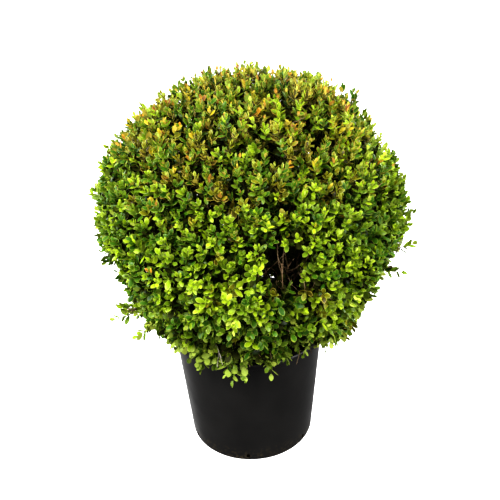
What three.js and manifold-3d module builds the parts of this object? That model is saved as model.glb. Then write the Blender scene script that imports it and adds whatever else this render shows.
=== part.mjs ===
// A box topiary ball in its round nursery pot: one dense clipped crown on a short forked stem.
// Millimetres, +Z up. The origin is the centre of the pot's flat underside.
// The front is -Y: the crown's thin patch is a little to the right of it.

import * as THREE from "three";
import { ImprovedNoise } from "three/addons/math/ImprovedNoise.js";
import { mergeVertices } from "three/addons/utils/BufferGeometryUtils.js";
import Module from "manifold-3d";

const wasm = await Module();
wasm.setup();

// ---------------------------------------------------------------- driving dimensions

const GAP = 0.3; // clearance between neighbouring solids

const POT_HEIGHT = 330;
const FOOT_RADIUS = 153;
const FOOT_ROUNDING = 13;
const WALL_TOP_RADIUS = 182; // outside of the wall, where it meets the rim
const WALL = 3;
const FLOOR = 4;
const RIM_RADIUS = 194;
const RIM_DEPTH = 15; // height of the rim's turned-down edge
const RIM_ROUNDING = 5;
const POT_SIDES = 48;

const DRAIN_HOLES = 6;
const DRAIN_WIDTH = 9;
const DRAIN_TALLNESS = 1.5; // height over width
const DRAIN_HEIGHT = 19; // centre of each hole above the underside
const DRAIN_FIRST = 265; // degrees round from +X

const COMPOST_EDGE = 298; // top of the compost at the pot wall
const COMPOST_TOP = 305; // flat middle that the stem stands on
const COMPOST_FLAT_RADIUS = 45;
const COMPOST_SIDES = 48;

const STEM_FLARE_RADIUS = 29;
const STEM_FORK_RADIUS = 15;
const STEM_FORK = 352; // height of the fork
const STEM_LEAN = 6; // sideways shift of the fork towards the crown's middle
const FLARE_HEIGHT = 11; // the root flare fades over this height
const FLARE_RIBS = 5;
const FLARE_RIB_DEPTH = 0.14;

const SIDE_BOUGHS = 6;
const SIDE_BOUGH_DROP = 24; // how far below the fork the side boughs leave the stem
const BOUGH_BASE_RADIUS = 7.2;
const BOUGH_TIP_RADIUS = 5;
const BOUGH_REACH = 104; // outward run of a side bough, before the crown cuts it off
const BOUGH_RISE = 100;

const CROWN_SHIFT = 15; // the crown sits this far to +X of the pot's axis
const CROWN_RADIUS = 343;
const CROWN_WIDEST = 582;
const CROWN_TOP = 932;
const CROWN_SQUARENESS = 2.6; // 2 is a round dome, more is fuller at the shoulders
const SKIRT_RADIUS = 226;
const SKIRT_HEIGHT = 341; // lowest edge of the crown, just clear of the rim
const FLANK_CURVE = 1.2; // 1 is a straight flank from the skirt to the widest ring
const HOLLOW_RISE = 94; // the crown's underside rises this far round the stem
const CROWN_DETAIL = 15; // subdivisions of the icosahedron that the crown is shaped from

// Shares of the way from the crown's top to the middle of its underside.
const DOME_SHARE = 0.53;
const FLANK_SHARE = 0.25;
const FADE_FROM = 0.68; // from here to the skirt the lumps fade out

const LUMP_SIZES = [
  { width: 95, height: 9 },
  { width: 48, height: 6 },
];

// Places where the clipped surface sinks or stands out: azimuth in degrees, the rest in mm.
const UNEVEN_PLACES = [
  { azimuth: -80, height: 668, reach: 62, rise: -16 }, // thin patch, upper half
  { azimuth: -71, height: 565, reach: 58, rise: -15 }, // thin patch, lower half
  { azimuth: -58, height: 905, reach: 60, rise: -14 }, // cleft in the top
  { azimuth: -2, height: 600, reach: 46, rise: 24 }, // tuft on the right flank
  { azimuth: 3, height: 690, reach: 40, rise: 12 },
  { azimuth: 186, height: 410, reach: 62, rise: 15 }, // low tuft on the left
  { azimuth: 96, height: 500, reach: 70, rise: 9 },
];

const POT_PLASTIC = { color: 0x1c1c1d, roughness: 0.42, metalness: 0 };
const COMPOST = { color: 0x2a1d13, roughness: 1, metalness: 0 };
const BARK = { color: 0x7a6a50, roughness: 0.85, metalness: 0 };
const LEAF = { color: 0x6c9a1c, roughness: 0.45, metalness: 0 };

// ---------------------------------------------------------------- solids and meshes

const radians = THREE.MathUtils.degToRad;

function toSolid(geometry) {
  const bare = geometry.clone();
  bare.deleteAttribute("normal");
  bare.deleteAttribute("uv");
  const merged = mergeVertices(bare, 1e-3);
  return new wasm.Manifold(
    new wasm.Mesh({
      numProp: 3,
      vertProperties: merged.attributes.position.array,
      triVerts: new Uint32Array(merged.index.array),
    }),
  );
}

function toGeometry(solid) {
  const { numProp, vertProperties, triVerts } = solid.getMesh();
  const geometry = new THREE.BufferGeometry();
  geometry.setAttribute("position", new THREE.BufferAttribute(vertProperties, numProp));
  geometry.setIndex(new THREE.BufferAttribute(triVerts, 1));
  geometry.computeVertexNormals();
  return geometry;
}

function part(name, geometry, finish) {
  const mesh = new THREE.Mesh(geometry, new THREE.MeshStandardMaterial(finish));
  mesh.name = name;
  return mesh;
}

// Turns an outline of (radius, height) points about the Z axis.
function turned(outline, sides) {
  return new THREE.LatheGeometry(outline, sides).rotateX(Math.PI / 2);
}

// ---------------------------------------------------------------- pot

// Outside radius of the pot's straight tapered wall.
function wallRadius(height) {
  const share = (height - FOOT_ROUNDING) / (POT_HEIGHT - FOOT_ROUNDING);
  return THREE.MathUtils.lerp(FOOT_RADIUS, WALL_TOP_RADIUS, share);
}

function potOutline() {
  const wallTop = POT_HEIGHT - WALL - GAP;
  const footFlat = FOOT_RADIUS - FOOT_ROUNDING;
  const innerFoot = FOOT_ROUNDING - WALL;
  const outline = new THREE.Path();
  outline.moveTo(0, 0);
  outline.lineTo(footFlat, 0);
  outline.absarc(footFlat, FOOT_ROUNDING, FOOT_ROUNDING, -Math.PI / 2, 0, false);
  outline.lineTo(wallRadius(wallTop), wallTop);
  outline.lineTo(wallRadius(wallTop) - WALL, wallTop);
  outline.lineTo(wallRadius(FLOOR + innerFoot) - WALL, FLOOR + innerFoot);
  outline.lineTo(wallRadius(FLOOR) - WALL - innerFoot, FLOOR);
  outline.lineTo(0, FLOOR);
  return outline.getPoints(2);
}

// The rim lies on the wall's top, with its outer edge turned down.
function rimOutline() {
  const underside = POT_HEIGHT - WALL;
  const edge = POT_HEIGHT - RIM_DEPTH;
  const shoulder = POT_HEIGHT - RIM_ROUNDING;
  const inside = wallRadius(POT_HEIGHT) - WALL;
  const outline = new THREE.Path();
  outline.moveTo(inside, underside);
  outline.lineTo(RIM_RADIUS - WALL, underside);
  outline.lineTo(RIM_RADIUS - WALL, edge);
  outline.lineTo(RIM_RADIUS, edge);
  outline.lineTo(RIM_RADIUS, shoulder);
  outline.absarc(RIM_RADIUS - RIM_ROUNDING, shoulder, RIM_ROUNDING, 0, Math.PI / 2, false);
  outline.lineTo(inside, POT_HEIGHT);
  outline.closePath();
  return outline.getPoints(2);
}

function drainHole(azimuth) {
  const length = 10 * WALL;
  return new THREE.CylinderGeometry(DRAIN_WIDTH / 2, DRAIN_WIDTH / 2, length, 14)
    .rotateZ(Math.PI / 2)
    .scale(1, 1, DRAIN_TALLNESS)
    .translate(FOOT_RADIUS - WALL / 2, 0, DRAIN_HEIGHT)
    .rotateZ(radians(azimuth));
}

function pot() {
  let shell = toSolid(turned(potOutline(), POT_SIDES));
  for (let i = 0; i < DRAIN_HOLES; i++) {
    const azimuth = DRAIN_FIRST + (i * 360) / DRAIN_HOLES;
    shell = shell.subtract(toSolid(drainHole(azimuth)));
  }
  return part("pot", toGeometry(shell), POT_PLASTIC);
}

function rim() {
  return part("pot_rim", turned(rimOutline(), POT_SIDES), POT_PLASTIC);
}

// ---------------------------------------------------------------- compost

function compost() {
  const base = FLOOR + GAP;
  const corner = FOOT_ROUNDING;
  const clear = WALL + GAP + 0.4; // also clears the flats of the pot's faceted wall
  const outline = [
    [0, base],
    [wallRadius(base) - clear - corner, base],
    [wallRadius(base + corner) - clear, base + corner],
    [wallRadius(COMPOST_EDGE) - clear, COMPOST_EDGE],
    [wallRadius(COMPOST_EDGE) * 0.72, COMPOST_EDGE + 1],
    [COMPOST_FLAT_RADIUS * 1.8, COMPOST_TOP - 2],
    [COMPOST_FLAT_RADIUS, COMPOST_TOP],
    [0, COMPOST_TOP],
  ].map(([radius, height]) => new THREE.Vector2(radius, height));
  return part("compost", turned(outline, COMPOST_SIDES), COMPOST);
}

// ---------------------------------------------------------------- stem and boughs

// A tapering limb along a curve. radiusAt takes the share of the length and the angle round it.
// side is a direction square to the limb. A level limb keeps its rings and its ends horizontal.
function limb(curve, radiusAt, { sides, rings, side, level = false }) {
  const geometry = new THREE.CylinderGeometry(1, 1, 1, sides, rings);
  const position = geometry.attributes.position;
  const vertex = new THREE.Vector3();
  const up = new THREE.Vector3(0, 0, 1);
  for (let i = 0; i < position.count; i++) {
    vertex.fromBufferAttribute(position, i);
    const share = THREE.MathUtils.clamp(vertex.y + 0.5, 0, 1);
    const along = level ? up : curve.getTangentAt(share);
    const across = side.clone().addScaledVector(along, -side.dot(along)).normalize();
    const third = new THREE.Vector3().crossVectors(across, along);
    const radius = radiusAt(share, Math.atan2(vertex.z, vertex.x));
    const placed = curve
      .getPointAt(share)
      .addScaledVector(across, vertex.x * radius)
      .addScaledVector(third, vertex.z * radius);
    position.setXYZ(i, placed.x, placed.y, placed.z);
  }
  return geometry;
}

function stemGeometry(grow) {
  const foot = COMPOST_TOP + GAP;
  const height = STEM_FORK - foot;
  const curve = new THREE.LineCurve3(
    new THREE.Vector3(0, 0, foot),
    new THREE.Vector3(STEM_LEAN, 0, STEM_FORK + grow),
  );
  const radiusAt = (share, angle) => {
    const flare = Math.exp((-share * height) / FLARE_HEIGHT);
    const rib = 1 + FLARE_RIB_DEPTH * flare * Math.cos(FLARE_RIBS * angle);
    return THREE.MathUtils.lerp(STEM_FORK_RADIUS, STEM_FLARE_RADIUS, flare) * rib + grow;
  };
  const side = new THREE.Vector3(1, 0, 0);
  return limb(curve, radiusAt, { sides: 20, rings: 7, side, level: true });
}

// A bough that leaves the stem at start and arches out and up towards end.
function boughGeometry(start, end, azimuth, thickness, grow) {
  const middle = start.clone().lerp(end, 0.5);
  middle.z -= 0.07 * start.distanceTo(end);
  const curve = new THREE.CatmullRomCurve3([start, middle, end]);
  const radiusAt = (share) =>
    thickness * THREE.MathUtils.lerp(BOUGH_BASE_RADIUS, BOUGH_TIP_RADIUS, share) + grow;
  const side = new THREE.Vector3(-Math.sin(azimuth), Math.cos(azimuth), 0);
  return limb(curve, radiusAt, { sides: 9, rings: 5, side });
}

function leaderGeometry() {
  const start = new THREE.Vector3(STEM_LEAN, 0, STEM_FORK + GAP);
  const end = new THREE.Vector3(CROWN_SHIFT, 8, STEM_FORK + BOUGH_RISE);
  const radiusAt = (share) => THREE.MathUtils.lerp(1.45, 1.1, share) * BOUGH_BASE_RADIUS;
  const curve = new THREE.LineCurve3(start, end);
  const side = new THREE.Vector3(1, 0, 0);
  return limb(curve, radiusAt, { sides: 12, rings: 4, side, level: true });
}

function sideBoughGeometry(index, grow) {
  const azimuth = radians(24 + (index * 360) / SIDE_BOUGHS + 9 * Math.sin(2.3 * index));
  const reach = BOUGH_REACH * (1 + 0.13 * Math.sin(1.7 * index));
  const height = STEM_FORK - SIDE_BOUGH_DROP - 7 * (index % 2);
  const lean = (STEM_LEAN * (height - COMPOST_TOP)) / (STEM_FORK - COMPOST_TOP);
  const start = new THREE.Vector3(lean, 0, height);
  const end = new THREE.Vector3(
    lean + reach * Math.cos(azimuth),
    reach * Math.sin(azimuth),
    height + BOUGH_RISE,
  );
  const thickness = 1 + 0.1 * Math.cos(2.1 * index);
  return boughGeometry(start, end, azimuth, thickness, grow);
}

function stem() {
  return part("stem", stemGeometry(0), BARK);
}

// The boughs start at the stem's surface and stop where they enter the crown.
function boughs(crownGeometry) {
  const crown = toSolid(crownGeometry.clone().translate(0, 0, -GAP));
  const stemClearance = toSolid(stemGeometry(GAP));
  const leader = toSolid(leaderGeometry()).subtract(crown);
  const made = [part("bough_leader", toGeometry(leader), BARK)];
  for (let i = 0; i < SIDE_BOUGHS; i++) {
    const bough = toSolid(sideBoughGeometry(i, 0)).subtract(crown).subtract(stemClearance);
    made.push(part(`bough_${i + 1}`, toGeometry(bough), BARK));
  }
  return made;
}

// ---------------------------------------------------------------- crown

// Radius and height on the smooth crown, at a share of the way from its top, round its widest
// ring and its skirt, to the middle of its underside.
function crownProfile(share) {
  if (share < DOME_SHARE) {
    const turn = (share / DOME_SHARE) * (Math.PI / 2);
    const power = 2 / CROWN_SQUARENESS;
    return {
      radius: CROWN_RADIUS * Math.sin(turn) ** power,
      height: CROWN_WIDEST + (CROWN_TOP - CROWN_WIDEST) * Math.cos(turn) ** power,
    };
  }
  if (share < DOME_SHARE + FLANK_SHARE) {
    const down = (share - DOME_SHARE) / FLANK_SHARE;
    return {
      radius: CROWN_RADIUS - (CROWN_RADIUS - SKIRT_RADIUS) * down ** FLANK_CURVE,
      height: THREE.MathUtils.lerp(CROWN_WIDEST, SKIRT_HEIGHT, down),
    };
  }
  const inward = (share - DOME_SHARE - FLANK_SHARE) / (1 - DOME_SHARE - FLANK_SHARE);
  return {
    radius: SKIRT_RADIUS * (1 - inward),
    height: SKIRT_HEIGHT + HOLLOW_RISE * Math.sin((inward * Math.PI) / 2) ** 2,
  };
}

const noise = new ImprovedNoise();

// How far the clipped surface stands out at a point: lumps of a few sizes and the uneven places.
function unevenness(point) {
  let rise = 0;
  for (const { width, height } of LUMP_SIZES) {
    rise += height * noise.noise(point.x / width + 7.3, point.y / width + 2.9, point.z / width);
  }
  for (const place of UNEVEN_PLACES) {
    const azimuth = radians(place.azimuth);
    const radius = Math.hypot(point.x, point.y);
    const centre = new THREE.Vector3(
      radius * Math.cos(azimuth),
      radius * Math.sin(azimuth),
      place.height,
    );
    rise += place.rise * Math.exp(-centre.distanceToSquared(point) / place.reach ** 2);
  }
  return rise;
}

function crownGeometry() {
  const geometry = new THREE.IcosahedronGeometry(1, CROWN_DETAIL);
  const position = geometry.attributes.position;
  const direction = new THREE.Vector3();
  const middle = new THREE.Vector3(0, 0, CROWN_WIDEST);
  for (let i = 0; i < position.count; i++) {
    direction.fromBufferAttribute(position, i).normalize();
    const share = Math.acos(THREE.MathUtils.clamp(direction.z, -1, 1)) / Math.PI;
    const { radius, height } = crownProfile(share);
    const azimuth = Math.atan2(direction.y, direction.x);
    const point = new THREE.Vector3(radius * Math.cos(azimuth), radius * Math.sin(azimuth), height);
    const outward = point.clone().sub(middle).normalize();
    const smooth = THREE.MathUtils.smoothstep(share, FADE_FROM, DOME_SHARE + FLANK_SHARE);
    point.addScaledVector(outward, (1 - smooth) * unevenness(point));
    position.setXYZ(i, point.x + CROWN_SHIFT, point.y, point.z);
  }
  return geometry;
}

// ---------------------------------------------------------------- assembly

const crown = crownGeometry();

const plant = new THREE.Group();
plant.add(stem(), ...boughs(crown), part("foliage_ball", toGeometry(toSolid(crown)), LEAF));

const container = new THREE.Group();
container.add(pot(), rim(), compost());

const group = new THREE.Group();
group.name = "box_topiary_ball";
group.add(container, plant);

export default group;
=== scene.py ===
"""Looks of a box topiary ball in its nursery pot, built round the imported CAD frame.

The crown grows from the CAD boughs. Limbs fork towards the sprays, a spray is a twig with
opposite side shoots, and each shoot carries crossed pairs of leaves and ends where the shears
passed. Metres, +Z up, and the front is -Y. Azimuths are degrees round from +X.
"""
import math

import bpy
import numpy as np
from mathutils import Matrix, Vector, noise
from mathutils.bvhtree import BVHTree


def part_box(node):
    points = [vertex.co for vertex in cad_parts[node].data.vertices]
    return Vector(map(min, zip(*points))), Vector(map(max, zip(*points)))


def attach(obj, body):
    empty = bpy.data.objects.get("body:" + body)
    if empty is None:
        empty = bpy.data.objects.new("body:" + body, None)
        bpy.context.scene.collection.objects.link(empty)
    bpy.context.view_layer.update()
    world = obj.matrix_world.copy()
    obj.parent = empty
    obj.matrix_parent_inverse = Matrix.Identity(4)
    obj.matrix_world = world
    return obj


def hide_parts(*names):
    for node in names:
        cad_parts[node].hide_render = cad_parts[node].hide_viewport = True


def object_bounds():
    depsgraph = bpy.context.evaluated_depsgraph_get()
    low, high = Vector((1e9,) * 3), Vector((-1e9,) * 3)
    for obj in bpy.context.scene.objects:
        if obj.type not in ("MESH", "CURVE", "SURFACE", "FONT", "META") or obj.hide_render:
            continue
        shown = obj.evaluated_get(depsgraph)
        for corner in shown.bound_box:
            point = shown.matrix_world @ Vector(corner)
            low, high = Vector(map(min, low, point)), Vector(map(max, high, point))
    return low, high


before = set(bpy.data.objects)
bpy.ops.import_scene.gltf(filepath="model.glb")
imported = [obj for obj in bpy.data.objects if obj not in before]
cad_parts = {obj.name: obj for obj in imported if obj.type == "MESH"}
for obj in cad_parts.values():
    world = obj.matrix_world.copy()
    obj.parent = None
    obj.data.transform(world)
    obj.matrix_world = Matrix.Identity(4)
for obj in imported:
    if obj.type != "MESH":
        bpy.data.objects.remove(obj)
cad_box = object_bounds()
rng = np.random.default_rng(22)

UP = np.array([0.0, 0.0, 1.0])

# -------- sizes of the plant

SURFACE_SAMPLES = 24000  # places that are tried for sprays
SPRAY_SPACING = 0.031  # between the tips of neighbouring sprays
TWIG_LENGTH = 0.088  # from a spray's foot to the clipped surface
TIP_GAP = 0.020  # from the twig's own tip to that surface, which the shoots reach
SHOOT_LENGTHS = 0.010, 0.078  # shortest and longest
FARTHEST_RUN = 0.10  # how far ahead of a shoot the clipped surface is looked for
STRAY_LENGTHS = 0.064, 0.020  # the leading shoot and the side shoots of a stray spray
SIDE_PAIRS = 2  # opposite pairs of side shoots on a twig, below its leading shoot
LEAF_PAIRS = 6  # on the leafy end of a shoot
RIMMED_PAIRS = 4  # of them, from the tip, that show their undersides
LEAF_TOP = 0.0165  # length of a leaf at the top of the crown
LEAF_LOW = 0.0225  # and at its skirt
LEAF_GAP = 0.40  # between pairs of leaves, as a share of a leaf's length
STRAY_GAP = 0.45  # the same on the shoots that stand out of the crown
LEAF_OPENING = (16, 30, 40, 48, 55, 60)  # degrees from the shoot, the youngest pair first
LEAF_GROWTH = (0.66, 0.88, 1.0, 1.0, 1.0, 0.95)  # share of the full length, the same way
TWIG_RADIUS = 0.0008
THICK_LIMB = 0.0018  # limbs over this radius are drawn rounder
LEAFY_LIMBS = 0.0042, 0.0090  # limbs under this radius carry old leaves, in the near and the far half
OLD_LEAVES = 1.25, 1.60  # how much longer than young ones they are, the same way
SPRAY_TWIG = 0.0012, 0.0007  # radii of a spray's twig at its foot and at its tip
SHOOT_RADIUS = 0.0007
STRAY_RADIUS = 0.0013
FORK_POWER = 0.41  # how fast a limb thickens with the number of sprays that it feeds
PIECE_TRIANGLES = 190000
SIZE_SHARE, SIZE_MARGIN = 0.03, 0.006  # room past the CAD box
STUBS = 90  # bare twigs that the shears left

# -------- sizes of the pot

POT_SIDES = 192
WALL = 0.003
FLOOR = 0.004
FOOT_ROUNDING = 0.013
RIM_ROUNDING = 0.005
RIM_SEAT = 0.0003  # between the wall's top and the rim
LIP = 0.0012  # rounding of the rim's edges
DRAIN_HOLES = 6
DRAIN_SIDES = 24
DRAIN_WIDTH = 0.009
DRAIN_TALLNESS = 1.5
DRAIN_HEIGHT = 0.019
DRAIN_FIRST = 265  # degrees
COMPOST_CRUMBS = 900


# -------- vectors

def unit(v):
    return v / np.maximum(np.linalg.norm(v, axis=-1, keepdims=True), 1e-12)


def square_to(v, along):
    """v without its part along a unit direction, as a unit vector."""
    return unit(v - (v * along).sum(-1, keepdims=True) * along)


def two_square_to(tangent):
    """Two unit vectors square to each tangent and to each other."""
    helper = np.where(np.abs(tangent[..., 2:3]) > 0.8, [1.0, 0.0, 0.0], UP)
    first = square_to(helper, tangent)
    return first, np.cross(tangent, first)


def smoothstep(low, high, x):
    t = np.clip((x - low) / (high - low), 0, 1)
    return t * t * (3 - 2 * t)


def mix(a, b, share):
    return a + (b - a) * share


def outward(azimuth):
    return np.array([math.cos(math.radians(azimuth)), math.sin(math.radians(azimuth)), 0])


def round_angles(sides):
    return np.arange(sides) * 2 * np.pi / sides


def bezier(a, b, c, t):
    """Points and unit tangents of quadratic curves. a, b and c are (curves, 3), t is (steps,) or
    (curves, steps)."""
    t = np.broadcast_to(t, (len(a), np.shape(t)[-1]))[..., None]
    points = (1 - t) ** 2 * a[:, None] + 2 * t * (1 - t) * b[:, None] + t * t * c[:, None]
    return points, unit((1 - t) * (b - a)[:, None] + t * (c - b)[:, None])


# -------- meshes from arrays

def linked(name, data):
    """A new object in the scene."""
    made = bpy.data.objects.new(name, data)
    bpy.context.scene.collection.objects.link(made)
    return made


def mesh_object(name, vertices, triangles, material, smooth=True):
    mesh = bpy.data.meshes.new(name)
    mesh.vertices.add(len(vertices))
    mesh.vertices.foreach_set("co", np.float32(vertices).ravel())
    mesh.loops.add(3 * len(triangles))
    mesh.loops.foreach_set("vertex_index", np.int32(triangles).ravel())
    mesh.polygons.add(len(triangles))
    mesh.polygons.foreach_set("loop_start", np.arange(0, 3 * len(triangles), 3, dtype=np.int32))
    mesh.polygons.foreach_set("use_smooth", np.full(len(triangles), smooth))
    mesh.materials.append(material)
    mesh.update(calc_edges=True)
    return linked(name, mesh)


def halved(a, b, c, d):
    """The two triangles of each four-sided face, all the first ones before the second ones."""
    return [np.stack([a, b, c], -1).reshape(-1, 3), np.stack([a, c, d], -1).reshape(-1, 3)]


def ring_triangles(tubes, steps, sides):
    """Triangles of closed tubes whose vertices run side by side, ring by ring, tube by tube."""
    tube, step, side = np.indices((tubes, steps - 1, sides))
    near = (tube * steps + step) * sides
    after = (side + 1) % sides
    far = near + sides
    walls = halved(near + side, near + after, far + after, far + side)
    fan = np.arange(1, sides - 1)[None, :]
    foot = (np.arange(tubes) * steps * sides)[:, None] + 0 * fan
    tip = foot + (steps - 1) * sides
    ends = [
        np.stack([foot, foot + fan + 1, foot + fan], -1).reshape(-1, 3),
        np.stack([tip, tip + fan, tip + fan + 1], -1).reshape(-1, 3),
    ]
    return np.concatenate(walls + ends)


def tube_arrays(points, radii, sides):
    """Closed tubes along (tubes, steps, 3) centre lines with (tubes, steps) radii."""
    tangent = unit(np.gradient(points, axis=1))
    first, second = two_square_to(tangent)
    angles = round_angles(sides)
    ring = (
        np.cos(angles)[:, None] * first[:, :, None, :]
        + np.sin(angles)[:, None] * second[:, :, None, :]
    )
    vertices = points[:, :, None, :] + ring * radii[:, :, None, None]
    return vertices.reshape(-1, 3), ring_triangles(points.shape[0], points.shape[1], sides)


# -------- materials

def principled(name, color, roughness, specular=0.5):
    material = bpy.data.materials.new(name)
    material.use_nodes = True
    shader = material.node_tree.nodes["Principled BSDF"]
    shader.inputs["Base Color"].default_value = (*color, 1)
    shader.inputs["Roughness"].default_value = roughness
    shader.inputs["Specular IOR Level"].default_value = specular
    return material


LEAF_COLORS = {
    "shade": (0.018, 0.038, 0.003),
    "deep": (0.045, 0.086, 0.004),
    "forest": (0.03, 0.09, 0.004),
    "umber": (0.062, 0.052, 0.003),
    "cool": (0.062, 0.155, 0.008),
    "mid": (0.125, 0.21, 0.008),
    "olive": (0.195, 0.19, 0.008),
    "fresh": (0.25, 0.37, 0.01),
    "lime": (0.37, 0.51, 0.018),
    "gold": (0.45, 0.37, 0.02),
    "amber": (0.52, 0.27, 0.022),
    "bronze": (0.22, 0.1, 0.022),
}
# Old inner leaves: partly dark with age, partly painted shade, near black like the depths of the crown.
OLD_SHADED_GREEN = (0.034, 0.04, 0.006)
# Undersides are paler, and a little wider, so they also rim the blade when it is seen from above. The
# pale rim is partly the underside's own colour and partly a painted highlight along the leaf's edge.
UNDER_COLORS = {
    "dim": (0.12, 0.14, 0.02),
    "green": (0.3, 0.39, 0.06),
    "lime": (0.54, 0.63, 0.11),
    "gold": (0.6, 0.5, 0.09),
    "amber": (0.66, 0.36, 0.07),
}
UNDER_OF = {
    "shade": "dim", "deep": "dim", "forest": "green", "cool": "green", "mid": "green",
    "olive": "lime", "fresh": "lime", "lime": "lime", "gold": "gold", "umber": "gold",
    "amber": "amber", "bronze": "amber",
}
# The colours of a shoot's youngest, middle and oldest leaves.
FAMILIES = {
    "bright": ("lime", "fresh", "deep"),
    "fresh": ("fresh", "mid", "deep"),
    "green": ("mid", "cool", "shade"),
    "cool": ("cool", "forest", "shade"),
    "olive": ("olive", "umber", "umber"),
    "gold": ("gold", "olive", "umber"),
}
COLOR_INDEX, UNDER_INDEX, FAMILY_INDEX = (
    {name: i for i, name in enumerate(names)} for names in (LEAF_COLORS, UNDER_COLORS, FAMILIES)
)
FAMILY_COLORS = np.array([[COLOR_INDEX[c] for c in family] for family in FAMILIES.values()])
UNDER_PICK = np.array([UNDER_INDEX[UNDER_OF[name]] for name in LEAF_COLORS])

# -------- the clipped surface

def node_arrays(name):
    """The vertices and triangles of a CAD node."""
    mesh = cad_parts[name].data
    mesh.calc_loop_triangles()
    vertices = np.array([v.co for v in mesh.vertices], float)
    return vertices, np.array([t.vertices for t in mesh.loop_triangles])


crown_vertices, crown_triangles = node_arrays("foliage_ball")
crown_tree = BVHTree.FromPolygons(crown_vertices.tolist(), crown_triangles.tolist())
crown_low, crown_high = (np.array(corner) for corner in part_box("foliage_ball"))
crown_height = crown_high[2] - crown_low[2]
crown_half = (crown_high[0] - crown_low[0]) / 2
crown_axis = np.array([(crown_low[0] + crown_high[0]) / 2, 0.0, 0.0])
crown_middle = crown_axis + UP * (crown_low[2] + 0.42 * crown_height)


def height_share(points):
    """0 at the crown's skirt and 1 at its top."""
    return np.clip((points[..., 2] - crown_low[2]) / crown_height, 0, 1)


def crown_point(azimuth, share, radius):
    """A point at an azimuth round the crown's axis, at a share of the crown's height."""
    level = crown_low[2] + share * crown_height
    return crown_axis + radius * outward(azimuth) + level * UP


def surface_samples(count):
    """Seeded points spread evenly over the crown, and the surface's outward direction there."""
    corners = crown_vertices[crown_triangles]
    cross = np.cross(corners[:, 1] - corners[:, 0], corners[:, 2] - corners[:, 0])
    area = np.linalg.norm(cross, axis=1)
    pick = rng.choice(len(area), count, p=area / area.sum())
    u, v = rng.random((2, count, 1))
    fold = u + v > 1
    u, v = np.where(fold, 1 - u, u), np.where(fold, 1 - v, v)
    a, b, c = corners[pick].transpose(1, 0, 2)
    return a + u * (b - a) + v * (c - a), unit(cross[pick])


def kept_apart(points, spacing):
    """Indices of points that keep their distance from each other, in the order given."""
    cells = {}
    kept = []
    steps = [(i - 1, j - 1, k - 1) for i, j, k in np.ndindex(3, 3, 3)]
    for index, key in enumerate(map(tuple, np.floor(points / spacing).astype(int))):
        near = [n for s in steps for n in cells.get((key[0] + s[0], key[1] + s[1], key[2] + s[2]), ())]
        gaps = np.linalg.norm(points[near] - points[index], axis=1)
        if not near or gaps.min() > spacing:
            cells.setdefault(key, []).append(index)
            kept.append(index)
    return np.array(kept)


def bar_share(points, radius, start, end):
    """1 inside a round-ended bar between two crown points, fading to 0 at its radius."""
    start, end = crown_point(*start), crown_point(*end)
    axis = end - start
    along = np.clip((points - start) @ axis / (axis @ axis), 0, 1)
    away = np.linalg.norm(points - start - along[:, None] * axis, axis=1)
    return 1 - smoothstep(0.6, 1.0, away / radius)


# Where the shears went deeper, or the sprays have parted: the depth and radius of each dent, and the
# azimuth, height share and radius of the two ends of its middle line.
DENTS = (
    (0.016, 0.075, (207, 0.36, 0.32), (188, 0.20, 0.29)),  # low on the left flank
    (0.018, 0.055, (182, 0.43, 0.33), (192, 0.33, 0.33)),  # left flank
    (0.028, 0.042, (-81, 0.50, 0.33), (-73, 0.30, 0.31)),  # front, round the bare patch
    (0.012, 0.036, (-72, 0.02, 0.235), (-60, 0.02, 0.235)),  # skirt
    (0.020, 0.090, (130, 0.97, 0.15), (160, 0.88, 0.26)),  # high on the left
    (0.020, 0.070, (26, 0.88, 0.24), (6, 0.77, 0.30)),  # high on the right
    (0.016, 0.070, (-12, 0.30, 0.33), (-20, 0.16, 0.29)),  # low on the right
    (0.016, 0.034, (-43, 0.98, 0.125), (-54, 0.93, 0.19)),  # cleft at the top
    (0.026, 0.060, (-114, 0.12, 0.28), (-70, 0.12, 0.28)),  # belly, over the skirt
)
PATCH = (0.040, (-83, 0.62, 0.33), (-77, 0.44, 0.32))  # the bare patch, the same way, without a depth


def sunken(points):
    """How deep each point lies in the dents of the clipped surface."""
    depths = [depth * bar_share(points, radius, start, end) for depth, radius, start, end in DENTS]
    return sum(depths)


def thinness(points):
    """How far the crown has thinned out, at the bare patch at the front."""
    return bar_share(points, *PATCH)


# The shoots that stand out of the clipped surface: the azimuth, height share and radius of each tip,
# and how much it points outwards and upwards.
STRAYS = (
    (-159, 0.16, 0.359, 0.9, -0.1),
    (-155, 0.21, 0.350, 0.9, 0.2),
    (-155, 0.06, 0.311, 0.7, -0.6),
    (-154, 0.10, 0.292, 0.7, -0.6),
    (-8, 0.35, 0.367, 1.0, 0.2),
    (0, 0.44, 0.368, 0.8, 0.7),
    (-10, 0.26, 0.345, 1.0, 0.1),
    (0, 0.58, 0.352, 0.8, 0.7),
    (7, 0.93, 0.246, 0.3, 1.0),
    (8, 0.95, 0.219, 0.1, 1.0),
    (9, 0.96, 0.192, 0.0, 1.0),
    (0, 0.90, 0.232, 0.3, 1.0),
    (-47, 0.02, 0.231, 0.4, -0.9),
    (-51, 0.04, 0.232, 0.4, -0.8),
    (141, 1.02, 0.127, 0.1, 1.0),
    (20, 1.03, 0.087, 0.1, 1.0),
    (177, 0.57, 0.370, 0.7, 0.7),
    (180, 0.61, 0.358, 0.9, 0.5),
    (-175, 0.78, 0.325, 0.7, 0.7),
    (-127, 0.00, 0.241, 0.5, -0.8),
    (-123, -0.03, 0.241, 0.5, -0.8),
    (-118, 0.00, 0.233, 0.5, -0.7),
    (-109, -0.03, 0.232, 0.5, -0.7),
    (-108, -0.06, 0.235, 0.4, -0.9),
    (-99, -0.04, 0.228, 0.5, -0.8),
    (-86, 0.00, 0.220, 0.6, -0.7),
    (-84, -0.04, 0.220, 0.4, -0.9),
)


# -------- sprays

def outside(points):
    """Whether each point is out of the crown, or hardly within it."""
    near = [crown_tree.find_nearest(Vector(point)) for point in points]
    return np.array([(Vector(p) - n[0]).dot(n[1]) > -0.015 for p, n in zip(points, near)])


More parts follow.
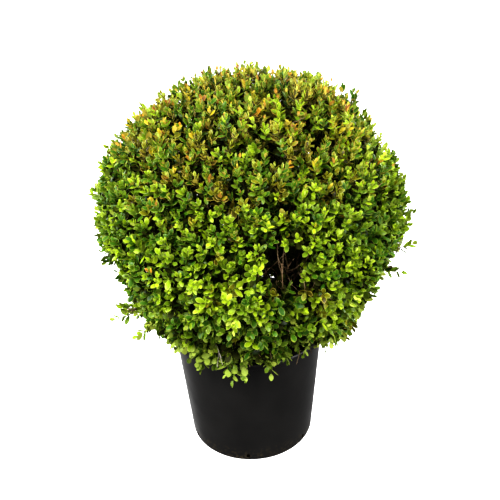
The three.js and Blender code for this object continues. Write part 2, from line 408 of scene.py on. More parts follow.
def stray_shoots():
    """The tips of the stray shoots, and the way that each one points."""
    tips = np.array([crown_point(*row[:3]) for row in STRAYS])
    out = np.array([outward(row[0]) for row in STRAYS])
    lean = np.array([row[3:] for row in STRAYS])
    return tips, unit(lean[:, :1] * out + lean[:, 1:] * UP)


def make_sprays():
    points, normal = surface_samples(SURFACE_SAMPLES)
    hollow = (normal[:, 2] < -0.8) & (np.linalg.norm((points - crown_axis)[:, :2], axis=1) < 0.10)
    points, normal = points[~hollow], normal[~hollow]
    kept = kept_apart(points, SPRAY_SPACING)
    share = height_share(points[kept])
    dropped = 0.13 * (1 - smoothstep(0.20, 0.60, share)) + 0.13 * smoothstep(0.75, 0.95, share)
    kept = kept[rng.random(len(kept)) > dropped]
    points, normal = points[kept], normal[kept]
    count = len(points)
    radial = unit(points - crown_middle)
    share = height_share(points)[:, None]
    hanging = rng.random((count, 1)) < 0.85 * (1 - smoothstep(0.0, 0.32, share))
    lift = rng.uniform(0.5, 1.3, (count, 1)) * mix(0.75, 1.5, share) - 1.3 * hanging
    sway = rng.normal(0, 1, (count, 3)) * mix(0.42, 0.20, smoothstep(0.2, 0.7, share))
    direction = unit(0.5 * normal + 0.4 * radial + lift * UP + sway)
    depth = rng.normal(0, 1, count) * mix(0.006, 0.009, share[:, 0])
    depth += 0.018 * thinness(points) + sunken(points)
    recessed = rng.random(count) < 0.26 + 1.6 * (share[:, 0] - 0.55) ** 2
    depth += np.where(recessed, rng.uniform(0.010, 0.034, count), 0)
    length = TWIG_LENGTH * rng.uniform(0.85, 1.15, count)
    astray = outside(points - (depth + length)[:, None] * direction)
    direction[astray] = unit(0.3 * normal + radial)[astray]
    stray_tip, stray_way = stray_shoots()
    points = np.concatenate([points, stray_tip])
    direction = np.concatenate([direction, stray_way])
    depth = np.append(depth, np.zeros(len(STRAYS)))
    length = np.append(length, np.full(len(STRAYS), TWIG_LENGTH))
    total = len(points)
    return {
        "surface": points,
        "direction": direction,
        "depth": depth,
        "foot": points - (depth + length)[:, None] * direction,
        "tip": points - (depth + TIP_GAP)[:, None] * direction,
        "bare": thinness(points) > 0.40,
        "free": np.arange(total) >= count,
        "turn": rng.uniform(0, 2 * np.pi, total),
    }


# -------- limbs

def limb_ends(name):
    """The centres of the two ends of a CAD limb, the low end first."""
    corners, _ = node_arrays(name)
    order = corners[:, 2].argsort()
    few = max(6, len(corners) // 12)
    return corners[order[:few]].mean(0), corners[order[-few:]].mean(0)


def nearest_groups(points, groups):
    """Seeded grouping of points by nearness."""
    centres = points[rng.choice(len(points), groups, replace=False)]
    for _ in range(6):
        group = np.linalg.norm(points[:, None] - centres[None], axis=2).argmin(1)
        found = [points[group == g].mean(0) if (group == g).any() else centres[g] for g in range(groups)]
        centres = np.array(found)
    return group


def limb_radius(fed):
    return TWIG_RADIUS * fed ** FORK_POWER


def grow_limbs(start, direction, feet, members):
    """Forks a limb towards the feet of its sprays until each has a twig of its own.

    Gives curves as (start, control, end, start radius, end radius)."""
    curves = []
    waiting = [(start, direction, members)]
    while waiting:
        start, direction, members = waiting.pop()
        radius = limb_radius(len(members))
        if len(members) == 1:
            end = feet[members[0]]
            control = start + direction * 0.45 * np.linalg.norm(end - start)
            curves.append((start, control, end, radius, TWIG_RADIUS))
            continue
        group = nearest_groups(feet[members], 3 if len(members) > 12 else 2)
        for g in np.unique(group):
            fed = members[group == g]
            reach = 0.34 if len(fed) > 24 else 0.48
            end = start + reach * (feet[fed].mean(0) - start) + rng.normal(0, 0.005, 3)
            control = start + direction * 0.42 * np.linalg.norm(end - start)
            end_radius = limb_radius(len(fed))
            curves.append((start, control, end, min(radius, 1.3 * end_radius), end_radius))
            waiting.append((end, unit(end - control), fed))
    return curves


def make_limbs(feet):
    names = sorted(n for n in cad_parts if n.startswith("bough_"))
    low, high = (np.array(ends) for ends in zip(*(limb_ends(name) for name in names)))
    direction = unit(high - low)
    owner = (unit(feet - low.mean(0)) @ direction.T).argmax(1)
    curves = []
    for index, start in enumerate(high):
        curves += grow_limbs(start, direction[index], feet, np.flatnonzero(owner == index))
    return [np.array(column) for column in zip(*curves)]


# -------- shoots

def clear_run(start, direction):
    """How far each shoot can grow before it meets the clipped surface."""
    runs = []
    for s, d in zip(start, direction):
        place, normal, _, distance = crown_tree.ray_cast(Vector(s), Vector(d))
        out = place is None or normal.dot(Vector(d)) < 0
        runs.append(0.0 if out else min(distance, FARTHEST_RUN))
    return np.array(runs)


def make_shoots(sprays):
    """One leading shoot and opposite pairs of side shoots on each spray's twig."""
    count = len(sprays["foot"])
    per_spray = 1 + 2 * SIDE_PAIRS
    spray = np.repeat(np.arange(count), per_spray)
    order = np.tile(np.arange(per_spray), count)
    leading = order == 0
    pair = (order + 1) // 2
    axis = sprays["direction"][spray]
    first, second = two_square_to(axis)
    turn = sprays["turn"][spray] + pair * np.pi / 2 + (order % 2) * np.pi
    turn = turn + rng.normal(0, 0.3, len(turn))
    side = np.cos(turn)[:, None] * first + np.sin(turn)[:, None] * second
    free = sprays["free"][spray]
    along = np.where(leading, 0.84, 0.12 + 0.26 * pair + rng.normal(0, 0.05, len(turn)))
    along = np.where(free & leading, 0.30, along)
    foot, tip = sprays["foot"][spray], sprays["tip"][spray]
    start = foot + along[:, None] * (tip - foot)
    lean = np.where(leading, 0.10, rng.uniform(0.40, 1.0, len(turn)))
    direction = unit(axis + lean[:, None] * side + rng.normal(0, 0.12, axis.shape))
    depth = sprays["depth"][spray] + rng.normal(0, 0.004, len(turn)) + np.where(leading, -0.004, 0.004)
    depth -= np.where(rng.random(len(turn)) < 0.015, rng.uniform(0.006, 0.016, len(turn)), 0)
    stray = np.where(leading, *STRAY_LENGTHS)
    length = np.where(free, stray, clear_run(start, direction) - depth)
    shortest, longest = SHOOT_LENGTHS
    length = np.clip(length, shortest, longest * rng.uniform(0.8, 1.1, len(turn)))
    end = start + length[:, None] * unit(direction + 0.22 * axis)
    bend = start + 0.5 * length[:, None] * unit(direction + 0.35 * side)
    return {
        "spray": spray,
        "start": start,
        "bend": bend,
        "end": end,
        "length": np.linalg.norm(end - start, axis=1),
        "leafy": ~sprays["bare"][spray] & ~(free & (pair == 2)),
        "gap": np.where(free, STRAY_GAP, LEAF_GAP),
        "fullness": np.where(free, 1.10, 0.96),
    }


# -------- leaves

def leaf_lengths(points):
    return mix(LEAF_LOW, LEAF_TOP, height_share(points) ** 0.8)


def make_leaves(shoots, size):
    """Crossed pairs of leaves down each shoot from its tip, as flat arrays of single leaves."""
    count = len(size)
    pair = np.arange(LEAF_PAIRS)
    shape = (count, LEAF_PAIRS)
    back = (0.10 + pair) * (shoots["gap"] * size)[:, None] * rng.uniform(0.9, 1.1, shape)
    t = 1 - back / shoots["length"][:, None]
    shown = (t > 0.03) & shoots["leafy"][:, None]
    t = np.clip(t, 0, 1)
    node, tangent = bezier(shoots["start"], shoots["bend"], shoots["end"], t)
    first, second = two_square_to(tangent)
    turn = rng.uniform(0, np.pi, (count, 1)) + pair * np.pi / 2 + rng.normal(0, 0.18, shape)
    lowness = 1 - smoothstep(0.25, 0.70, height_share(node))[..., None]
    opening = np.radians(LEAF_OPENING)[None, :, None] * (1 + 0.25 * lowness)
    sunward = 0.10 * unit(node - crown_middle) + 0.10 * UP
    growth = size[:, None] * np.array(LEAF_GROWTH)
    sides = []
    for sign in (1, -1):
        out = sign * (np.cos(turn)[..., None] * first + np.sin(turn)[..., None] * second)
        angle = opening + rng.normal(0, 0.22, (*shape, 1)) * (1 + 0.6 * lowness)
        along = unit(np.cos(angle) * tangent + np.sin(angle) * out)
        face = np.sin(angle) * tangent - np.cos(angle) * out
        toss = rng.normal(0, 0.35, along.shape) * (1 + 0.5 * lowness)
        up = square_to(face + sunward + toss, along)
        keep = shown & (rng.random(shape) < shoots["fullness"][:, None] - 0.14 * lowness[..., 0])
        leaves = {
            "origin": node,
            "along": along,
            "up": up,
            "length": growth * rng.uniform(0.85, 1.12, shape),
            "shoot": np.broadcast_to(np.arange(count)[:, None], shape),
            "pair": np.broadcast_to(pair, shape),
        }
        sides.append({name: values[keep] for name, values in leaves.items()})
    return {name: np.concatenate([side[name] for side in sides]) for name in sides[0]}


def in_reach(leaves):
    """The leaves that stay in the room that the size rule leaves round the CAD box."""
    low, high = (np.array(corner) for corner in cad_box)
    room = SIZE_SHARE * (high - low) + SIZE_MARGIN
    tips = leaves["origin"] + leaves["length"][:, None] * leaves["along"]
    inside = ((tips > low - room) & (tips < high + room)).all(1)
    return {name: values[inside] for name, values in leaves.items()}


def family_weights(points):
    """How common each family of leaf colours is at each point, with painted shade low on the crown."""
    share = height_share(points)
    across = (points[:, 0] - crown_axis[0]) / crown_half
    flank = smoothstep(0.5, 0.95, np.abs(across))
    right = smoothstep(0.4, 0.9, across)
    high = smoothstep(0.60, 0.92, share)
    low = 1 - smoothstep(0.15, 0.50, share)
    skirt_shade = 1 - smoothstep(0.08, 0.26, share)
    # Towards the skirt the weights shift from the bright families to the dark green ones: painted shade
    # under the crown's overhang.
    weights = {
        "bright": 0.50 - 0.22 * low - 0.24 * skirt_shade - 0.40 * high + 0.16 * right,
        "fresh": 0.85 + 0.15 * flank - 0.10 * low - 0.40 * skirt_shade - 0.42 * high,
        "green": 0.65 + 0.30 * flank + 0.50 * low + 0.60 * skirt_shade,
        "cool": 0.35 + 0.75 * flank + 0.15 * low + 0.60 * skirt_shade - 0.12 * high - 0.20 * right,
        "olive": 0.05 + 0.87 * high + 0.05 * skirt_shade,
        "gold": 0.005 + 0.175 * high,
    }
    table = np.stack([weights[name] + 0 * share for name in FAMILIES], 1)
    return table / table.sum(1, keepdims=True)


def drawn(weights):
    """One seeded draw from each row of weights."""
    picked = (rng.random((len(weights), 1)) > weights.cumsum(1)).sum(1)
    return np.minimum(picked, weights.shape[1] - 1)


def leaf_colors(leaves, shoots, sprays):
    weights = family_weights(sprays["surface"])
    main = drawn(weights)
    spray = shoots["spray"]
    family = np.where(rng.random(len(spray)) < 0.55, main[spray], drawn(weights[spray]))
    level = sprays["surface"][spray, 2]
    levels = [level < 0.36, level < 0.86]
    calm = np.select(levels, [FAMILY_INDEX["green"], FAMILY_INDEX["fresh"]], FAMILY_INDEX["cool"])
    family = np.where(sprays["free"][spray], calm, family)
    age = (leaves["pair"] + rng.uniform(-0.8, 0.8, len(leaves["pair"]))) / 2
    color = FAMILY_COLORS[family[leaves["shoot"]], np.clip(age.astype(int), 0, 2)]
    tint_share = 0.003 + 0.078 * smoothstep(0.72, 0.97, height_share(shoots["end"]))
    tinted = (rng.random(len(spray)) < tint_share) & ~sprays["free"][spray]
    tint = np.where(rng.random(len(spray)) < 0.62, COLOR_INDEX["amber"], COLOR_INDEX["bronze"])
    youngest = leaves["pair"] < rng.integers(1, 3, len(color))
    return np.where(tinted[leaves["shoot"]] & youngest, tint[leaves["shoot"]], color)


def under_colors(leaves, blade_color):
    """Undersides follow their blades, but high in the crown many have turned gold or amber."""
    turned = 0.42 * smoothstep(0.60, 0.95, height_share(leaves["origin"]))
    draw = rng.random(len(blade_color))
    color = np.where(draw < turned, UNDER_INDEX["gold"], UNDER_PICK[blade_color])
    return np.where(draw < 0.14 * turned, UNDER_INDEX["amber"], color)


# Half a leaf's outline, from its stalk to its tip: shares of its length and of its width.
LEAF_EDGE = np.array([[0.00, 0.00], [0.18, 0.24], [0.42, 0.47], [0.69, 0.47], [0.90, 0.26], [1.00, 0.00]])
LEAF_OUTLINE = np.concatenate([LEAF_EDGE, LEAF_EDGE[4:0:-1] * [1, -1]])
LEAF_RIDGE = 0.055  # how far the midrib stands over the edges, as a share of the length
LEAF_BEND = -0.07  # how far the tip bends down
LEAF_RIM = 0.06  # how much wider the underside is than the blade
# The shapes of a blade, of an underside and of an old leaf, each as its points and its triangles.
MIDRIB = [[0.36, 0, LEAF_RIDGE], [0.70, 0, LEAF_RIDGE]]
BLADE = np.array([[x, y, 0] for x, y in LEAF_OUTLINE] + MIDRIB), np.array([
    [10, 0, 1], [10, 1, 2], [11, 10, 2], [11, 2, 3], [11, 3, 4], [11, 4, 5],
    [10, 9, 0], [10, 8, 9], [11, 8, 10], [11, 7, 8], [11, 6, 7], [11, 5, 6],
])
UNDER = np.array([
    [x + LEAF_RIM * (x - 0.4), y * (1 + 3 * LEAF_RIM), -0.012] for x, y in LEAF_OUTLINE
]), np.array([
    [0, 9, 1], [1, 9, 8], [1, 8, 2], [2, 8, 7], [2, 7, 3], [3, 7, 6], [3, 6, 4], [4, 6, 5],
])
INNER = np.array([
    [0, 0, 0], [0.3, 0.44, -0.03], [0.8, 0.46, -0.03], [1, 0, 0], [0.8, -0.46, 0.03], [0.3, -0.44, 0.03],
]), np.array([[0, 5, 1], [1, 5, 4], [1, 4, 2], [2, 4, 3]])


def leaf_arrays(leaves, pick, shape):
    """One blade or underside for each leaf that is picked."""
    shape_points, shape_faces = shape
    length = leaves["length"][pick][:, None, None]
    origin, along, up = (leaves[name][pick][:, None] for name in ("origin", "along", "up"))
    broad = mix(0.56, 0.40, height_share(origin))[..., None]
    across = np.cross(up, along)
    bend = LEAF_BEND * shape_points[:, :1] ** 2
    points = origin + length * (
        shape_points[:, :1] * along
        + shape_points[:, 1:2] * broad * across
        + (shape_points[:, 2:] + bend) * up
    )
    triangles = shape_faces + len(shape_points) * np.arange(len(pick))[:, None, None]
    return points.reshape(-1, 3), triangles.reshape(-1, 3)


# -------- the crown's pieces

def in_crown(piece):
    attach(piece, "root")
    return piece


def leaf_pieces(kind, leaves, colors, color, shape, roughness, specular):
    """The blades or undersides of every leaf, joined by colour."""
    pieces = []
    most = PIECE_TRIANGLES // len(shape[1])
    for index, (name, base) in enumerate(colors.items()):
        material = principled(f"{kind}_{name}", base, roughness, specular)
        members = np.flatnonzero(color == index)
        for number, first in enumerate(range(0, len(members), most), 1):
            arrays = leaf_arrays(leaves, members[first:first + most], shape)
            pieces.append(in_crown(mesh_object(f"{kind}_{name}_{number}", *arrays, material)))
    return pieces


def tube_piece(name, curve, start_radius, end_radius, steps, sides, material, slot):
    t = np.linspace(0, 1, steps)
    points, _ = bezier(*curve, t)
    radii = mix(np.reshape(start_radius, (-1, 1)), np.reshape(end_radius, (-1, 1)), t)
    radii = np.broadcast_to(radii, points.shape[:2])
    return in_crown(mesh_object(name, *tube_arrays(points, radii, sides), material))


def far_side(points):
    """Whether each point is in the crown's far half, where more old leaves close the view through."""
    return (points[:, 1] > 0.0) & (height_share(points) < 0.93)


def twig_leaves(sprays):
    """Old leaves along the twigs and the thinner limbs, deeper in the crown, their near-black colour
    partly age and partly painted shade.
    """
    thin = limb_r1 < mix(*LEAFY_LIMBS, far_side(limb_end))
    within = ~sprays["free"] & (thinness(sprays["surface"]) < 0.9)
    start = np.concatenate([sprays["foot"][within], limb_start[thin]])
    end = np.concatenate([sprays["tip"][within], limb_end[thin]])
    deep = {"start": start, "bend": (start + end) / 2, "end": end, "leafy": np.ones(len(start), bool)}
    deep["length"] = np.linalg.norm(deep["end"] - deep["start"], axis=1)
    deep["gap"] = LEAF_GAP * mix(1.0, 0.8, far_side(end))
    deep["fullness"] = np.full(len(start), 0.96)
    return make_leaves(deep, mix(*OLD_LEAVES, far_side(end)) * leaf_lengths(end))


def stubs(sprays):
    """Bare cut ends, mostly round the lower half, and the dry twig at the right of the skirt."""
    odds = (1.1 - height_share(sprays["surface"])) * ~sprays["free"]
    pick = rng.choice(len(odds), STUBS, replace=False, p=odds / odds.sum())
    end = sprays["surface"][pick] + rng.normal(0, 0.006, (STUBS, 3))
    end -= rng.uniform(-0.002, 0.012, (STUBS, 1)) * sprays["direction"][pick]
    start = end - 0.034 * unit(sprays["direction"][pick] + rng.normal(0, 0.35, (STUBS, 3)))
    start = np.concatenate([start, [crown_point(-42, 0.10, 0.235)]])
    end = np.concatenate([end, [crown_point(-38, 0.03, 0.272)]])
    middle = (start + end) / 2 + rng.normal(0, 0.002, start.shape)
    return start, middle, end


# Pale stubs that show at the front of the skirt: the azimuth, height share and radius of each one's
# start, inside the crown, and of its cut end.
CUT_STUBS = (
    ((-119, 0.12, 0.218), (-111, 0.07, 0.246)),
    ((-117, 0.09, 0.218), (-111, 0.03, 0.241)),
    ((-116, 0.07, 0.211), (-114, 0.02, 0.244)),
)

sprays = make_sprays()
limb_start, limb_control, limb_end, limb_r0, limb_r1 = make_limbs(sprays["foot"])
shoots = make_shoots(sprays)
stray_size = mix(1.05, 1.25, height_share(sprays["surface"]))
spray_size = np.where(sprays["free"], stray_size, rng.uniform(0.80, 1.20, len(sprays["foot"])))
leaf_size = leaf_lengths(shoots["end"]) * spray_size[shoots["spray"]]
leaves = in_reach(make_leaves(shoots, leaf_size))
blade_color = leaf_colors(leaves, shoots, sprays)
under_color = np.where(leaves["pair"] < RIMMED_PAIRS, under_colors(leaves, blade_color), -1)
pieces = leaf_pieces("leaf", leaves, LEAF_COLORS, blade_color, BLADE, 0.36, 0.26)
pieces += leaf_pieces("leaf_under", leaves, UNDER_COLORS, under_color, UNDER, 0.6, 0.3)
inner = twig_leaves(sprays)
inner_mesh = leaf_arrays(inner, np.arange(len(inner["length"])), INNER)
# Painted shade: the old leaves inside the crown are coloured near black.
inner_shaded_green = principled("leaf_old_shaded", OLD_SHADED_GREEN, 0.6, 0.12)
pieces.append(in_crown(mesh_object("leaves_inner", *inner_mesh, inner_shaded_green)))

twig_brown = principled("twig_brown", (0.20, 0.125, 0.070), 0.8, 0.2)
shoot_green = principled("shoot_green", (0.20, 0.24, 0.03), 0.6, 0.3)
twig_grey = principled("twig_grey", (0.24, 0.17, 0.10), 0.85, 0.2)
twig_pale = principled("twig_pale", (0.50, 0.46, 0.38), 0.85, 0.2)

thick = limb_r1 > THICK_LIMB
for name, pick, sides in (("limbs", thick, 6), ("twigs_inner", ~thick, 4)):
    curve = limb_start[pick], limb_control[pick], limb_end[pick]
    tube_piece(name, curve, limb_r0[pick], limb_r1[pick], 5, sides, twig_brown, "bark")
curve = sprays["foot"], (sprays["foot"] + sprays["tip"]) / 2, sprays["tip"]
tube_piece("twigs_outer", curve, *SPRAY_TWIG, 4, 4, twig_brown, "bark")
shoot_radius = np.where(sprays["free"][shoots["spray"]], STRAY_RADIUS, SHOOT_RADIUS)
for name, pick, material in (
    ("shoots", shoots["leafy"], shoot_green),
    ("shoots_bare", ~shoots["leafy"], twig_grey),
):
    curve = shoots["start"][pick], shoots["bend"][pick], shoots["end"][pick]
    tube_piece(name, curve, shoot_radius[pick], 0.6 * shoot_radius[pick], 4, 3, material, "leaf")
tube_piece("stubs", stubs(sprays), 0.0009, 0.0006, 3, 6, twig_grey, "bark")
cut_low, cut_high = (np.array([crown_point(*row[end]) for row in CUT_STUBS]) for end in (0, 1))
cut_curve = cut_low, (cut_low + cut_high) / 2, cut_high
tube_piece("stubs_cut", cut_curve, 0.0008, 0.0007, 3, 6, twig_pale, "bark")
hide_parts("foliage_ball")

# -------- procedural materials


class Nodes:
    """A node tree, with the kinds of node and link that the materials and the world share."""

    def __init__(self, owner, shader="Principled BSDF", coordinates="Object"):
        self.tree = owner.node_tree
        self.inputs = self.tree.nodes[shader].inputs
        self.place = self.node("TexCoord").outputs[coordinates]

    def link(self, output, target):
        self.tree.links.new(output, target)

    def feed(self, name, output):
        self.link(output, self.inputs[name])

    def node(self, kind, numbers=(), links=()):
        """A new node, with pairs of an input and the number or the output that it takes."""
        node = self.tree.nodes.new("ShaderNode" + kind)
        for name, number in numbers:
            node.inputs[name].default_value = number
        for name, output in links:
            self.link(output, node.inputs[name])
        return node

    def stretched(self, scale):
        return self.node("Mapping", [("Scale", scale)], [("Vector", self.place)]).outputs["Vector"]

    def noise(self, scale, detail=3.0, place=None):
        numbers = [("Scale", scale), ("Detail", detail)]
        return self.node("TexNoise", numbers, [("Vector", place or self.place)]).outputs["Fac"]

    def ranged(self, value, from_min, from_max, to_min=0.0, to_max=1.0):
        names = "From Min", "From Max", "To Min", "To Max"
        numbers = zip(names, (from_min, from_max, to_min, to_max))
        return self.node("MapRange", numbers, [("Value", value)]).outputs["Result"]

    def combined(self, operation, first, second):
        node = self.node("Math", links=[(0, first), (1, second)])
        node.operation = operation
        return node.outputs[0]

    def part(self, axis):
        return self.node("SeparateXYZ", links=[(0, self.place)]).outputs[axis]

    def blend(self, share, first, second):
        """A colour between two, each given as numbers or as an output."""
        node = self.node("Mix")
        node.data_type = "RGBA"
        self.link(share, node.inputs["Factor"])
        for value, target in ((first, node.inputs[6]), (second, node.inputs[7])):
            if isinstance(value, tuple):
                target.default_value = (*value, 1)
            else:
                self.link(value, target)
        return node.outputs[2]

    def bump(self, height, strength, distance):
        numbers = [("Strength", strength), ("Distance", distance)]
        node = self.node("Bump", numbers, [("Height", height)])
        self.feed("Normal", node.outputs["Normal"])


def pot_plastic_material():
    """Satin black plastic, a little uneven, with dust round its foot and a painted reflection of the
    floor, a pale patchy band, along its bottom edge.
    """
    material = principled("pot_black_plastic", (0.014, 0.0135, 0.013), 0.38, 0.45)
    nodes = Nodes(material)
    cloudy = nodes.ranged(nodes.noise(9.0), 0.3, 0.7)
    plastic = nodes.blend(cloudy, (0.0115, 0.0110, 0.0105), (0.0185, 0.0175, 0.0165))
    near_foot = nodes.ranged(nodes.part("Z"), 0.050, 0.004)
    specks = nodes.ranged(nodes.noise(130.0, 4.0), 0.50, 0.66)
    dust = nodes.combined("MULTIPLY", near_foot, specks)
    dusty = nodes.blend(dust, plastic, (0.070, 0.055, 0.032))
    # Painted reflection: a pale cream band just above the floor stands in for the floor's glint on the
    # foot.
    glint_band = nodes.ranged(nodes.part("Z"), 0.0070, 0.0015)
    painted_floor_glint = nodes.combined("MULTIPLY", glint_band, nodes.noise(40.0))
    nodes.feed("Base Color", nodes.blend(painted_floor_glint, dusty, (0.30, 0.25, 0.15)))
    nodes.feed("Roughness", nodes.ranged(nodes.noise(22.0, 5.0), 0.3, 0.7, 0.33, 0.46))
    nodes.bump(nodes.noise(650.0, 2.0), 0.12, 0.0006)
    return material


def compost_material():
    material = principled("compost_crumbs", (0.03, 0.018, 0.010), 0.95, 0.2)
    nodes = Nodes(material)
    crumbs = nodes.ranged(nodes.noise(160.0, 6.0), 0.35, 0.65)
    color = nodes.blend(crumbs, (0.012, 0.008, 0.005), (0.060, 0.036, 0.020))
    fibres = nodes.ranged(nodes.noise(60.0, 8.0), 0.62, 0.70)
    nodes.feed("Base Color", nodes.blend(fibres, color, (0.16, 0.11, 0.06)))
    nodes.bump(nodes.noise(420.0, 5.0), 0.5, 0.001)
    return material


def twig_bark_material():
    """Brown young bark in paler and darker patches."""
    material = principled("twig_bark", (0.20, 0.125, 0.070), 0.8, 0.2)
    nodes = Nodes(material)
    patches = nodes.ranged(nodes.noise(90.0, 4.0), 0.35, 0.65)
    nodes.feed("Base Color", nodes.blend(patches, (0.13, 0.080, 0.045), (0.28, 0.185, 0.110)))
    nodes.bump(nodes.noise(500.0, 4.0), 0.4, 0.0004)
    return material


def bark_material():
    """Grey-tan bark with darker cracks that run along the limbs."""
    material = principled("bark_cracked", (0.16, 0.12, 0.075), 0.9, 0.25)
    nodes = Nodes(material)
    along = nodes.stretched((1.0, 1.0, 0.22))
    cracks = nodes.ranged(nodes.noise(240.0, 6.0, along), 0.42, 0.60)
    patches = nodes.ranged(nodes.noise(45.0, 3.0), 0.35, 0.65)
    light = nodes.blend(patches, (0.21, 0.165, 0.105), (0.30, 0.27, 0.20))
    nodes.feed("Base Color", nodes.blend(cracks, (0.060, 0.040, 0.024), light))
    nodes.bump(cracks, 0.5, 0.0010)
    return material


# -------- pot, compost and stem

def apply_modifiers(piece):
    depsgraph = bpy.context.evaluated_depsgraph_get()
    mesh = bpy.data.meshes.new_from_object(piece.evaluated_get(depsgraph))
    piece.modifiers.clear()
    piece.data = mesh


def arc(centre, radius, start, end, steps):
    """Points of an arc in a profile of (radius, height), by angles in degrees."""
    angles = np.radians(np.linspace(start, end, steps))
    return [(centre[0] + radius * math.cos(a), centre[1] + radius * math.sin(a)) for a in angles]


def straight(start, end, steps):
    """Points of a straight run, without its last one."""
    return [tuple(mix(np.array(start), np.array(end), s / steps)) for s in range(steps)]


def turned_arrays(profile, sides, ring):
    """A profile of (radius, height) turned about Z: a closed ring, or a body whose profile runs
    from axis to axis."""
    profile = np.array(profile)
    body = profile if ring else profile[1:-1]
    angles = round_angles(sides)
    circle = np.stack([np.cos(angles), np.sin(angles), 0 * angles], 1)
    vertices = (body[:, None, :1] * circle + body[:, None, 1:] * UP).reshape(-1, 3)
    steps = len(body)
    step, side = np.indices((steps if ring else steps - 1, sides))
    after, above = (side + 1) % sides, (step + 1) % steps
    near, far = step * sides, above * sides
    faces = halved(near + side, near + after, far + after, far + side)
    if not ring:
        first, last = len(vertices), len(vertices) + 1
        vertices = np.concatenate([vertices, [[0, 0, profile[0, 1]], [0, 0, profile[-1, 1]]]])
        side = np.arange(sides)
        after, top = (side + 1) % sides, (steps - 1) * sides
        faces.append(np.stack([after, side, 0 * side + first], -1))
        faces.append(np.stack([top + side, top + after, 0 * side + last], -1))
    return vertices, np.concatenate(faces)


pot_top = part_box("pot")[1][2]
pot_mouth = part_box("pot")[1][0]  # outside radius of the wall at its top


def foot_radius():
    corners, _ = node_arrays("pot")
    low = corners[corners[:, 2] < FOOT_ROUNDING + 0.001]
    return np.hypot(low[:, 0], low[:, 1]).max()


def wall_radius(height):
    share = (height - FOOT_ROUNDING) / (pot_top - FOOT_ROUNDING)
    return mix(foot_radius(), pot_mouth, share)


def drill_arrays():
    """Oval cutters for the drain holes."""
    angles = round_angles(DRAIN_SIDES)
    vertices = []
    for hole in range(DRAIN_HOLES):
        out = outward(DRAIN_FIRST + hole * 360 / DRAIN_HOLES)
        across = np.cross(UP, out)
        oval = DRAIN_WIDTH / 2 * (
            np.cos(angles)[:, None] * across + DRAIN_TALLNESS * np.sin(angles)[:, None] * UP
        )
        for reach in (-5 * WALL, 5 * WALL):
            vertices.append((foot_radius() + reach) * out + DRAIN_HEIGHT * UP + oval)
    return np.concatenate(vertices), ring_triangles(DRAIN_HOLES, 2, DRAIN_SIDES)


def make_pot(material):
    flat = foot_radius() - FOOT_ROUNDING
    inner = FOOT_ROUNDING - WALL
    outline = [(0, 0)] + straight((flat / 2, 0), (flat, 0), 2)
    outline += arc((flat, FOOT_ROUNDING), FOOT_ROUNDING, -90, 0, 9)[:-1]
    outline += straight((foot_radius(), FOOT_ROUNDING), (pot_mouth, pot_top), 16)
    outline += [(pot_mouth, pot_top), (pot_mouth - WALL, pot_top)]
    inside_foot = wall_radius(FLOOR + inner) - WALL
    outline += straight((pot_mouth - WALL, pot_top), (inside_foot, FLOOR + inner), 16)[1:]
    outline += arc((inside_foot - inner, FLOOR + inner), inner, 0, -90, 7)
    outline += [(flat / 2, FLOOR), (0, FLOOR)]
    piece = mesh_object("pot_body", *turned_arrays(outline, POT_SIDES, ring=False), material)
    drill = mesh_object("pot_drill", *drill_arrays(), material)
    cut = piece.modifiers.new("holes", "BOOLEAN")
    cut.operation = "DIFFERENCE"
    cut.object = drill
    apply_modifiers(piece)
    bpy.data.objects.remove(drill)
    piece.data.set_sharp_from_angle(angle=math.radians(35))
    return piece


def make_rim(material):
    """The lip lies on the wall's top and turns down outside it."""
    low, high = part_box("pot_rim")
    radius, edge, top = high[0], low[2], high[2]
    inside, back, seat = pot_mouth - WALL, radius - WALL, pot_top + RIM_SEAT
    outline = straight((inside, seat), (back, seat), 3)
    outline += straight((back, seat), (back, edge + LIP), 3)
    outline += arc((back + LIP, edge + LIP), LIP, 180, 270, 4)
    outline += arc((radius - LIP, edge + LIP), LIP, -90, 0, 4)
    outline += straight((radius, edge + 2 * LIP), (radius, top - RIM_ROUNDING), 2)
    outline += arc((radius - RIM_ROUNDING, top - RIM_ROUNDING), RIM_ROUNDING, 0, 90, 7)
    outline += straight((radius - 1.4 * RIM_ROUNDING, top), (inside + 2 * LIP, top), 3)
    outline += arc((inside + LIP, top - LIP), LIP, 90, 180, 4)
    piece = mesh_object("pot_lip", *turned_arrays(outline, POT_SIDES, ring=True), material)
    piece.data.set_sharp_from_angle(angle=math.radians(35))
    return piece


